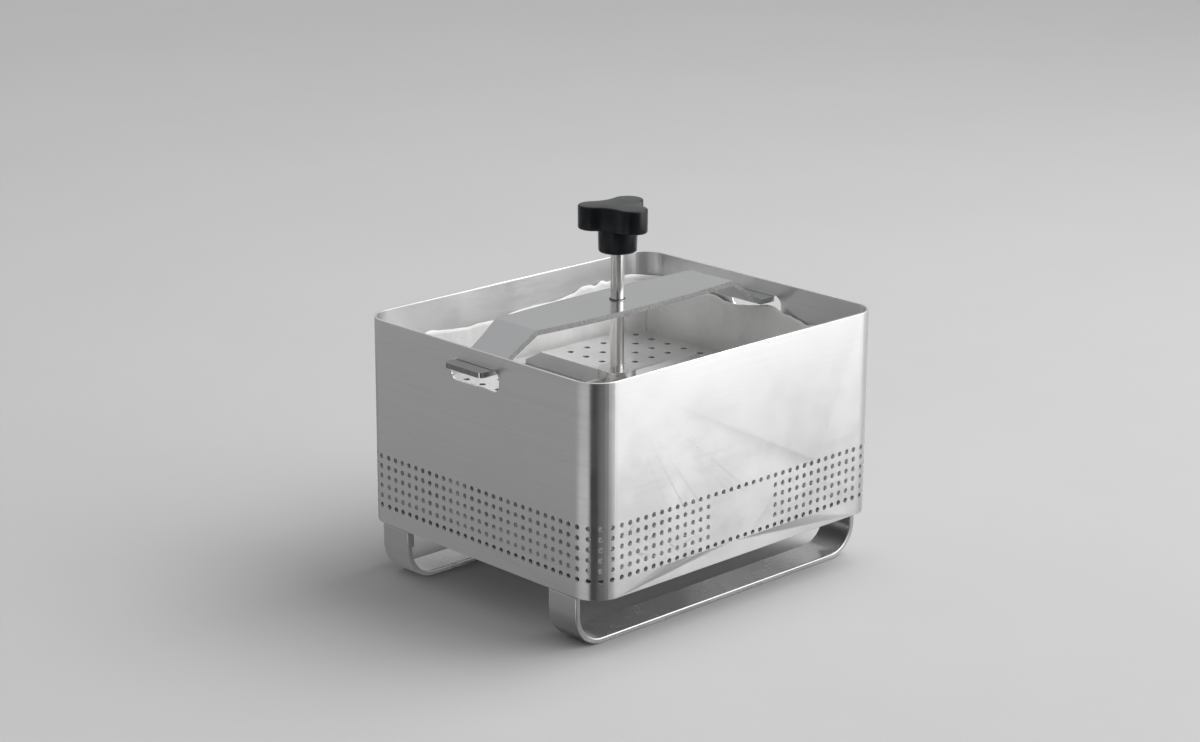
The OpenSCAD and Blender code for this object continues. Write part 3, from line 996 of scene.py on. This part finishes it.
    def place(self, u: float, v: float) -> Vector:
        """Maps a point of the flat cut into the box.

        Args:
            u: Distance from the middle of the cut, left to right, in millimetres.
            v: Distance from the middle of the cut, front to back.

        Returns:
            The point in metres.
        """
        inset = self.gap + self.thickness / 2
        a, b = self.half_length - inset, self.half_width - inset
        loop_r = self.corner - inset
        panel_x = 2 * (a - loop_r) + math.pi * loop_r / 2
        panel_y = 2 * (b - loop_r) + math.pi * loop_r / 2
        loop = 2 * (panel_x + panel_y)
        reach = max(abs(u) / a, abs(v) / b)
        if reach < 1e-9:
            return Vector((self.offset_x * MM, 0.0, (self.floor_z + 0.3) * MM))
        if abs(v) / b >= abs(u) / a:
            along = max(-1.0, min(1.0, u / a / min(reach, 1.0)))
            centre = (a - loop_r) / loop
            share = centre + (along if v < 0 else -along) * panel_x / 2 / loop + (0.0 if v < 0 else 0.5)
            height = abs(v) - b
        else:
            along = max(-1.0, min(1.0, v / b / min(reach, 1.0)))
            centre = (2 * (a - loop_r) + math.pi * loop_r / 2 + b - loop_r) / loop
            share = centre + (along if u > 0 else -along) * panel_y / 2 / loop + (0.0 if u > 0 else 0.5)
            height = abs(u) - a
        low = self.floor_z + self.thickness / 2
        if reach <= 1:
            ripple = 0.25 * noise.noise(Vector((u * 0.05, v * 0.05, 2.0)))
            edge = self.spot(share, inset + self.turn)
            x, y = edge[0] * reach, edge[1] * reach
            z = low + max(0.0, 0.2 + ripple) * (1 - reach ** 4)
            return Vector(((x + self.offset_x) * MM, y * MM, z * MM))
        full = self.full_height
        level = min(1.0, height / full)
        top = self.edge_height(share)
        z = low + (top - low) * level
        rise = min(1.0, (z - low) / self.turn)
        bend = self.turn * (1 - math.sqrt(max(0.0, 1 - (1 - rise) ** 2)))
        fold = self.fold(level, share) + self.creases(share, z, level)
        stand = inset + min(max(fold, 0.0), self.fold_depth + 0.4) + bend
        x, y = self.spot(share, stand)
        return Vector(((x + self.offset_x) * MM, y * MM, z * MM))

    @property
    def full_height(self) -> float:
        """Length of cloth from the floor to the mean top edge."""
        return self.rim_z - self.drop - self.floor_z

    def build(self) -> None:
        """Cuts, folds and sews the liner, and gives it its thickness."""
        inset = self.gap + self.thickness / 2
        a, b = self.half_length - inset, self.half_width - inset
        flat_x, flat_y = a + self.full_height, b + self.full_height
        bm = bmesh.new()
        across = 2 * round(flat_x / self.cell)
        deep = 2 * round(flat_y / self.cell)
        bmesh.ops.create_grid(bm, x_segments=across, y_segments=deep, size=1.0)
        for vert in bm.verts:
            vert.co = (self.snapped(vert.co.x, a, flat_x), self.snapped(vert.co.y, b, flat_y), 0.0)
        corners = [
            face
            for face in bm.faces
            if abs(face.calc_center_median().x) > a and abs(face.calc_center_median().y) > b
        ]
        bmesh.ops.delete(bm, geom=corners, context="FACES")
        layer = bm.loops.layers.uv.new(CLOTH_MAP)
        for face in bm.faces:
            for loop in face.loops:
                loop[layer].uv = (loop.vert.co.x * MM, loop.vert.co.y * MM)
        for vert in bm.verts:
            vert.co = self.place(vert.co.x, vert.co.y)
        bmesh.ops.remove_doubles(bm, verts=bm.verts[:], dist=1e-5)
        bmesh.ops.recalc_face_normals(bm, faces=bm.faces[:])
        piece = finish_piece(bm, "cloth_liner", self.cotton, Body.BOX, "press_cloth", 60.0)
        solid = piece.modifiers.new("thickness", "SOLIDIFY")
        solid.thickness = self.thickness * MM
        solid.offset = 0.0

    @staticmethod
    def snapped(share: float, fold_at: float, reach: float) -> float:
        """Spreads the grid so that one of its lines falls on the fold.

        Args:
            share: Place between -1 and 1 on an even grid.
            fold_at: Distance of the fold from the middle.
            reach: Distance of the cut's edge from the middle.

        Returns:
            The distance from the middle.
        """
        split = fold_at / reach
        size = abs(share)
        if size <= split:
            return math.copysign(size / split * fold_at, share)
        return math.copysign(fold_at + (size - split) / (1 - split) * (reach - fold_at), share)


# ---- The bridge ----


@dataclass
class Bridge:
    """The bent strap across the box, with the rod's bush and wiper ring."""

    steel: bpy.types.Material
    turned_steel: bpy.types.Material
    rubber: bpy.types.Material
    edge_ease: float = 0.55
    chamfer: float = 0.5
    bore_r: float = 4.05
    neck_r: float = 4.85
    bush_r: float = 8.0
    bush_low: float = 154.3
    seat_z: float = 160.3
    neck_top: float = 163.4
    ring_r: float = 4.34
    ring_z: float = 163.68
    ring_section: float = 0.3

    def build(self) -> None:
        """Builds the strap, the bush and the ring."""
        grain, width = Grain.LENGTHWISE, self.edge_ease
        eased_copy("bridge", "bridge_strap", self.steel, Body.BRIDGE, grain, width, 1)
        self.build_bush()
        self.build_ring()

    def build_bush(self) -> None:
        """Turns the bush with chamfered edges and a lead-in at each end of its bore."""
        c = self.chamfer
        bm = turned(
            closed(
                [
                    (self.bore_r + 0.3, self.bush_low),
                    (self.bush_r - c, self.bush_low),
                    (self.bush_r, self.bush_low + c),
                    (self.bush_r, self.seat_z),
                    (self.neck_r, self.seat_z),
                    (self.neck_r, self.neck_top - 0.2),
                    (self.neck_r - 0.2, self.neck_top),
                    (self.bore_r + 0.15, self.neck_top),
                    (self.bore_r, self.neck_top - 0.15),
                    (self.bore_r, self.bush_low + 0.3),
                ]
            )
        )
        lay_grain(bm, Grain.TURNED)
        finish_piece(bm, "bridge_bush", self.turned_steel, Body.BRIDGE, "guide_bush")

    def build_ring(self) -> None:
        """Turns the ring's round section about the rod."""
        steps = 16
        points = [
            (
                self.ring_r + self.ring_section * math.cos(math.tau * i / steps),
                self.ring_z + self.ring_section * math.sin(math.tau * i / steps),
            )
            for i in range(steps)
        ]
        bm = turned(closed(points))
        finish_piece(bm, "rod_wiper", self.rubber, Body.BRIDGE, "wiper_ring", 60.0)


# ---- The press plate ----


@dataclass
class PressPlate:
    """The perforated press plate with its ribs, hub, thrust disc and retaining screw."""

    steel: bpy.types.Material
    turned_steel: bpy.types.Material
    bronze: bpy.types.Material
    plate_ease: float = 0.2

    def build(self) -> None:
        """Eases each of the plate's pieces."""
        self.piece("press_plate", "pressing_plate", self.steel, Grain.LENGTHWISE, "sheet_steel", 1)
        for side in ("left", "right", "front", "rear"):
            self.piece(f"{side}_rib", f"{side}_rib_bar", self.steel, Grain.LEVEL, "sheet_steel", 2)
        self.piece("plate_hub", "hub_turning", self.turned_steel, Grain.TURNED, "turned_steel", 2)
        self.piece("retaining_screw", "hub_screw", self.turned_steel, Grain.TURNED, "turned_steel", 1)
        self.piece("thrust_disc", "hub_disc", self.bronze, Grain.TURNED, "bearing_bronze", 1)

    def piece(
        self, node: str, name: str, material: bpy.types.Material, grain: Grain, slot: str, segments: int
    ) -> None:
        """Eases one piece.

        Args:
            node: The CAD node.
            name: The piece's name.
            material: Its metal.
            grain: Which way its brushing runs.
            slot: The record's material slot; not used.
            segments: Faces across each eased edge.
        """
        eased_copy(node, name, material, Body.PRESS, grain, self.plate_ease, segments)


# ---- The rod and its knob ----


@dataclass
class PushRod:
    """The polished rod, its moulded three-lobed knob and the knob's threaded insert."""

    polished: bpy.types.Material
    brass: bpy.types.Material
    plastic: bpy.types.Material
    chamfer: float = 0.6
    rod_r: float = 4.0
    rod_low: float = 111.55
    rod_top: float = 206.0
    groove_z: float = 116.775
    groove_half: float = 1.6
    groove_depth: float = 1.0
    hub_r: float = 11.5
    hub_low: float = 192.0
    head_low: float = 205.8
    head_top: float = 220.0
    knob_r: float = 23.0
    lobe_r: float = 9.0
    waist_r: float = 13.2
    knob_turn: float = 21.5
    insert_r: float = 6.0
    insert_top: float = 208.0
    round_steps: int = 216
    crown: float = 0.35
    hub_draft: float = 0.35
    insert_fit: float = 0.02
    rounded_rings: tuple[tuple[int, float], ...] = ((4, 0.8), (5, 1.2), (7, 1.2))

    def build(self) -> None:
        """Builds the rod, the insert and the knob."""
        self.build_rod()
        self.build_insert()
        self.build_knob()

    def build_rod(self) -> None:
        """Turns the rod with chamfered ends and the groove for the retaining screw."""
        c, g = self.chamfer, self.groove_half
        root = self.rod_r - self.groove_depth
        bm = turned(
            [
                (0.0, self.rod_low),
                (self.rod_r - c, self.rod_low),
                (self.rod_r, self.rod_low + c),
                (self.rod_r, self.groove_z - g),
                (root, self.groove_z - g),
                (root, self.groove_z + g),
                (self.rod_r, self.groove_z + g),
                (self.rod_r, self.rod_top - c),
                (self.rod_r - c, self.rod_top),
                (0.0, self.rod_top),
            ]
        )
        lay_grain(bm, Grain.TURNED)
        finish_piece(bm, "rod_bar", self.polished, Body.ROD, "rod")

    def build_insert(self) -> None:
        """Turns the insert with a chamfered mouth."""
        low, top, r = self.hub_low, self.insert_top, self.rod_r + 0.01
        bm = turned(
            [
                (0.0, top),
                (self.insert_r, top),
                (self.insert_r, low + 0.2),
                (self.insert_r - 0.2, low),
                (r + 0.4, low),
                (r, low + 0.4),
                (r, self.rod_top),
                (0.0, self.rod_top),
            ]
        )
        lay_grain(bm, Grain.TURNED)
        finish_piece(bm, "insert_nut", self.brass, Body.ROD, "knob_insert")

    def outline(self, angle: float) -> float:
        """Finds the radius of the three-lobed outline in a direction.

        Args:
            angle: Direction from the first lobe, in radians.

        Returns:
            The radius in millimetres: a lobe's arc, or the hollow arc that joins two lobes.
        """
        third = math.tau / 3
        a = abs((angle + third / 2) % third - third / 2)
        reach = self.knob_r - self.lobe_r
        ahead, aside = reach * math.cos(math.pi / 3), reach * math.sin(math.pi / 3)
        dent = self.waist_r - ahead
        hollow = (dent**2 + aside**2 - self.lobe_r**2) / (2 * (self.lobe_r - dent))
        far = self.waist_r + hollow
        to_lobe = Vector((ahead - far, aside)).normalized()
        touch = Vector((far, 0.0)) + to_lobe * hollow
        touch_angle = math.pi / 3 - math.atan2(touch.y, touch.x)
        if a <= touch_angle:
            return reach * math.cos(a) + math.sqrt(self.lobe_r**2 - (reach * math.sin(a)) ** 2)
        b = math.pi / 3 - a
        return far * math.cos(b) - math.sqrt(hollow**2 - (far * math.sin(b)) ** 2)

    def ring(self, verts: list[bmesh.types.BMVert], z: float, radius: Callable[[float], float]) -> None:
        """Moves a ring of points to a height and an outline.

        Args:
            verts: The ring's points.
            z: The height in millimetres.
            radius: Radius in a direction from the first lobe.
        """
        for vert in verts:
            angle = math.atan2(vert.co.y, vert.co.x)
            r = radius(angle - math.radians(self.knob_turn)) * MM
            vert.co = (r * math.cos(angle), r * math.sin(angle), z * MM)

    def build_knob(self) -> None:
        """Builds the head and hub as one shell, ring by ring, then rounds its edges."""
        bm = bmesh.new()
        first = bmesh.ops.create_circle(bm, cap_ends=False, segments=self.round_steps, radius=MM)["verts"]
        self.ring(first, self.head_top, lambda angle: 0.12 * self.outline(angle))
        steps: list[tuple[float, Callable[[float], float]]] = [
            (self.head_top - self.crown * s**3, lambda angle, s=s: s * self.outline(angle))
            for s in (0.35, 0.6, 0.8, 0.9)
        ]
        steps += [
            (self.head_top - self.crown, self.outline),
            (self.head_low, self.outline),
            (self.head_low, lambda angle: self.hub_r),
            (self.hub_low, lambda angle: self.hub_r - self.hub_draft),
            (self.hub_low, lambda angle: self.insert_r + self.insert_fit),
            (self.insert_top + self.insert_fit, lambda angle: self.insert_r + self.insert_fit),
        ]
        edges = bm.edges[:]
        bmesh.ops.edgeloop_fill(bm, edges=edges)
        rings = []
        for z, radius in steps:
            made = bmesh.ops.extrude_edge_only(bm, edges=edges)["geom"]
            edges = [g for g in made if isinstance(g, bmesh.types.BMEdge)]
            verts = [g for g in made if isinstance(g, bmesh.types.BMVert)]
            self.ring(verts, z, radius)
            edges = [e for e in edges if all(v in set(verts) for v in e.verts)]
            rings.append(edges)
        bmesh.ops.edgeloop_fill(bm, edges=edges)
        bmesh.ops.recalc_face_normals(bm, faces=bm.faces[:])
        for ring, width in self.rounded_rings:
            round_over(bm, rings[ring], width, 4)
        finish_piece(bm, "knob_moulding", self.plastic, Body.ROD, "knob", 40.0)


# ---- Studio ----


@dataclass
class Studio:
    """The pale floor, the soft light and the camera.

    Bearings are measured from the direction to the camera towards its right: in the room in
    radians, on the screens in degrees. Heights in the room are the upward part of a direction.
    """

    camera_at: tuple[float, float, float] = (-1.05711, -1.09027, 0.57783)
    camera_turn: tuple[float, float, float] = (73.2192, -0.1825, -43.6876)
    lens: float = 81.745
    floor_shade: float = 0.50
    floor_size: float = 16.0
    floor_drop: float = 0.0002
    sky_level: float = 0.52
    left_level: float = 0.42
    window_level: float = 2.8
    dark_level: float = 0.05
    # Where each part of the room fades in and out: bearings for from and to, heights for top.
    window_from: tuple[float, float] = (0.8, 1.1)
    window_to: tuple[float, float] = (2.1, 1.85)
    window_top: tuple[float, float] = (0.85, 0.7)
    window_widens: float = 0.45
    widens_at: tuple[float, float] = (0.3, 0.45)
    left_from: tuple[float, float] = (-2.0, -1.7)
    left_to: tuple[float, float] = (-0.15, -0.35)
    left_top: tuple[float, float] = (0.6, 0.4)
    dark_from: tuple[float, float] = (-0.35, -0.15)
    dark_to: tuple[float, float] = (0.5, 0.35)
    dark_top: tuple[float, float] = (0.5, 0.35)
    lamp_watts: float = 21.0
    lamp_size: float = 1.4
    lamp_at: tuple[float, float, float] = (0.9, -0.3, 1.7)
    lamp_aim: float = 0.08
    near_corner: tuple[float, float] = (-0.1053, -0.0925)
    # The low screen round the near corner: bearing and level of its columns, darkest ahead of it.
    dark_screen: GlowColumns = (
        (-150.0, 0.12), (-134.0, 0.34), (-100.0, 0.38), (-86.0, 0.41), (-74.0, 0.70), (-60.0, 0.82),
        (-28.6, 0.88), (-27.4, 0.02), (-8.0, 0.02), (4.0, 0.12), (18.0, 0.20), (38.0, 0.20), (50.0, 0.27),
        (60.0, 0.36), (70.0, 0.50), (80.0, 0.50), (90.0, 0.48), (134.0, 0.44),
    )
    # Distance from the corner, height and share of the level, from the foot to the top.
    screen_rims: tuple[tuple[float, float, float], ...] = (
        (0.012, 0.0005, 0.35), (0.1, 0.0005, 0.8), (0.2, 0.0005, 1.0), (0.45, 0.0005, 1.0), (0.45, 0.02, 0.9),
        (0.45, 0.05, 0.5), (0.45, 0.1, 0.35), (0.45, 0.2, 0.35),
    )
    # Outside these bearings the screen lies flat and reaches further.
    ahead: tuple[float, float] = (-75.0, 65.0)
    beside_reach: float = 1.8
    near_reach: float = 0.1
    # The upright screen on the right: distance towards the camera and level of its columns.
    bright_screen: GlowColumns = (
        (0.42, 0.7), (0.32, 1.6), (0.24, 2.8), (0.14, 2.9), (0.06, 2.7), (-0.04, 2.3), (-0.2, 1.6),
        (-0.43, 0.9),
    )
    bright_right: float = 0.62
    # Height and share of the level, from its foot to its top.
    bright_heights: tuple[tuple[float, float], ...] = ((0.0, 0.5), (0.12, 1.0), (0.8, 1.35))

    def build(self) -> None:
        """Builds the camera, the floor and the light."""
        self.build_camera()
        self.build_floor()
        self.build_sky()
        self.build_lamps()
        self.build_cards()
        bpy.context.scene.view_settings.view_transform = "Standard"

    def build_camera(self) -> None:
        """Stands the camera where the photograph was taken."""
        data = bpy.data.cameras.new("camera")
        data.lens = self.lens
        data.sensor_width = 36.0
        data.sensor_fit = "HORIZONTAL"
        data.clip_start = 0.01
        data.clip_end = 50.0
        camera = bpy.data.objects.new("camera", data)
        camera.location = self.camera_at
        camera.rotation_euler = Euler([math.radians(t) for t in self.camera_turn], "XYZ")
        bpy.context.scene.collection.objects.link(camera)
        bpy.context.scene.camera = camera

    @staticmethod
    def stage_mesh(bm: bmesh.types.BMesh, name: str, material: bpy.types.Material) -> bpy.types.Object:
        """Makes something that isn't part of the object.

        Args:
            bm: Its shape, which is freed.
            name: Its name.
            material: Its material.

        Returns:
            The new object.
        """
        mesh = bpy.data.meshes.new(name)
        bm.to_mesh(mesh)
        bm.free()
        mesh.materials.append(material)
        made = bpy.data.objects.new(name, mesh)
        bpy.context.scene.collection.objects.link(made)
        return made

    def build_floor(self) -> None:
        """Lays the pale floor just under the feet."""
        material, w, shader = new_material("floor_paint")
        places = w.add("TexCoord").outputs["Object"]
        marks = w.group(MARKS.tree(), Vector=places, Scale=5.0).outputs["Patches"]
        shade = rgba(self.floor_shade)
        w.feed(shader.inputs["Base Color"], w.blend(marks, toned(shade, 0.97), toned(shade, 1.03)))
        shader.inputs["Roughness"].default_value = 0.8
        shader.inputs["Specular IOR Level"].default_value = 0.0
        bm = bmesh.new()
        bmesh.ops.create_grid(bm, x_segments=1, y_segments=1, size=self.floor_size / 2)
        self.stage_mesh(bm, "floor", material).location.z = -self.floor_drop

    def directions(self) -> tuple[Vector, Vector]:
        """Returns the level directions to the camera and to its right."""
        back = Vector((self.camera_at[0], self.camera_at[1], 0.0)).normalized()
        return back, Vector((-back.y, back.x, 0.0))

    def build_sky(self) -> None:
        """Paints the room: a bright window on the camera's right, dim behind and left of the camera."""
        back, right = self.directions()
        world = bpy.data.worlds.new("room")
        bpy.context.scene.world = world
        world.use_nodes = True
        w = Wiring(world.node_tree)
        background = world.node_tree.nodes["Background"]
        way = w.add("TexCoord").outputs["Generated"]
        height = w.dot(way, (0.0, 0.0, 1.0))
        bearing = w.math("ARCTAN2", w.dot(way, right), w.dot(way, back))
        past = w.math("MULTIPLY_ADD", w.ramp(height, *self.widens_at), -self.window_widens, bearing)
        window = w.math("MULTIPLY", w.ramp(bearing, *self.window_from), w.ramp(past, *self.window_to))
        window = w.math("MULTIPLY", window, w.ramp(height, *self.window_top))
        dark = w.math("MULTIPLY", w.ramp(bearing, *self.dark_from), w.ramp(bearing, *self.dark_to))
        dark = w.math("MULTIPLY", dark, w.ramp(height, *self.dark_top))
        left = w.math("MULTIPLY", w.ramp(bearing, *self.left_from), w.ramp(bearing, *self.left_to))
        left = w.math("MULTIPLY", left, w.ramp(height, *self.left_top))
        level = w.blend(left, rgba(self.sky_level), rgba(self.left_level))
        level = w.blend(dark, level, rgba(self.dark_level))
        level = w.blend(window, level, rgba(self.window_level))
        w.feed(background.inputs["Color"], level)
        background.inputs["Strength"].default_value = 1.0

    def build_lamps(self) -> None:
        """Hangs one large soft lamp above and to the right."""
        back, right = self.directions()
        data = bpy.data.lights.new("soft_lamp", "AREA")
        data.shape = "RECTANGLE"
        data.size = self.lamp_size
        data.size_y = self.lamp_size
        data.energy = self.lamp_watts
        lamp = bpy.data.objects.new("soft_lamp", data)
        aside, ahead, up = self.lamp_at
        lamp.location = right * aside + back * ahead + Vector((0.0, 0.0, up))
        aim = Vector((0.0, 0.0, self.lamp_aim)) - lamp.location
        lamp.rotation_euler = aim.to_track_quat("-Z", "Y").to_euler()
        bpy.context.scene.collection.objects.link(lamp)

    def build_cards(self) -> None:
        """Lays a low screen round the near corner and stands a bright one on the right."""
        back, right = self.directions()
        corner = Vector((*self.near_corner, 0.0))
        columns = []
        for bearing, level in self.dark_screen:
            way = back * math.cos(math.radians(bearing)) + right * math.sin(math.radians(bearing))
            beside = not self.ahead[0] <= bearing <= self.ahead[1]
            points = []
            for r, z, share in self.screen_rims:
                reach = r * (self.beside_reach if beside and r > self.near_reach else 1.0)
                height = self.screen_rims[0][1] if beside else z
                points.append((corner + way * reach + Vector((0.0, 0.0, height)), level * share))
            columns.append(points)
        self.glowing_sheet("dark_screen", columns)
        columns = []
        for ahead, level in self.bright_screen:
            foot = back * ahead + right * self.bright_right
            points = [(foot + Vector((0.0, 0.0, z)), level * share) for z, share in self.bright_heights]
            columns.append(points)
        self.glowing_sheet("bright_screen", columns)

    def glowing_sheet(self, name: str, columns: list[list[tuple[Vector, float]]]) -> None:
        """Makes a glowing sheet that only reflections show.

        Args:
            name: The sheet's name.
            columns: The points of each column with how bright it is there, all as many.
        """
        bm = bmesh.new()
        layer = bm.loops.layers.float_color.new("level")
        verts = [[bm.verts.new(point) for point, _ in column] for column in columns]
        for i in range(len(columns) - 1):
            for j in range(len(verts[0]) - 1):
                corners = ((i, j), (i + 1, j), (i + 1, j + 1), (i, j + 1))
                ring = [verts[a][b] for a, b in corners]
                if (ring[2].co - ring[1].co).length + (ring[3].co - ring[0].co).length < 1e-4:
                    continue
                for loop, (a, b) in zip(bm.faces.new(ring).loops, corners):
                    loop[layer] = rgba(columns[a][b][1])
        sheet = self.stage_mesh(bm, name, self.glow(name, "level"))
        sheet.visible_camera = False
        sheet.visible_diffuse = False
        sheet.visible_shadow = False
        sheet.visible_transmission = False

    @staticmethod
    def glow(name: str, attribute: str) -> bpy.types.Material:
        """Makes a material that glows as bright as its mesh says.

        Args:
            name: The material's name.
            attribute: The mesh's colour attribute to glow in.

        Returns:
            The material.
        """
        material, w, shader = new_material(name)
        shader.inputs["Base Color"].default_value = rgba(0.0)
        shader.inputs["Specular IOR Level"].default_value = 0.0
        colour = w.add("Attribute", {"attribute_name": attribute}).outputs["Color"]
        w.feed(shader.inputs["Emission Color"], colour)
        shader.inputs["Emission Strength"].default_value = 1.0
        return material


# ---- Everything in order ----


def main() -> None:
    """Builds the studio and every piece, and hides nothing but what the pieces stand for."""
    logging.basicConfig(level=logging.INFO, format="%(name)s: %(message)s")
    Studio().build()
    # The sheet's upward faces carry a painted highlight.
    sheet = BrushedSteel("brushed_sheet", edges=EdgeLook.DEBURRED).make()
    strap = BrushedSteel("brushed_strap", shade=0.58, roughness=0.26, contrast=0.012, bump=0.004).make()
    plate = BrushedSteel("brushed_plate", shade=0.62, roughness=0.32).make()
    bridge = BrushedSteel(
        "brushed_bridge",
        shade=0.66,
        warm=-0.012,
        roughness=0.19,
        anisotropy=0.4,
        contrast=0.02,
        bump=0.006,
        edges=EdgeLook.PITTED,
    ).make()
    polished = SmoothMetal(
        "polished_rod", rgba(0.70, 0.01), roughness=0.16, ring_contrast=0.01, anisotropy=0.85, bump=0.002
    ).make()
    turned_steel = SmoothMetal("turned_steel", rgba(0.66, 0.01), roughness=0.22, ring_contrast=0.08).make()
    bronze = SmoothMetal("bearing_bronze", (0.62, 0.42, 0.22, 1.0), roughness=0.3).make()
    brass = SmoothMetal("brass_insert", (0.72, 0.55, 0.28, 1.0), roughness=0.25).make()
    plastic = MouldedPlastic(
        "black_plastic", (0.0085, 0.0105, 0.0125, 1.0), rubbed=rgba(0.04, -0.05), roughness=0.22
    ).make()
    rubber = Rubber("black_rubber", rgba(0.012)).make()
    cotton = Cotton("bleached_cotton", rgba(0.90, 0.005), shaded=rgba(0.83, 0.01)).make()
    Box(sheet, strap, plate).build()
    Liner(cotton).build()
    Bridge(bridge, turned_steel, rubber).build()
    PressPlate(plate, turned_steel, bronze).build()
    PushRod(polished, brass, plastic).build()


if __name__ == "__main__":
    main()
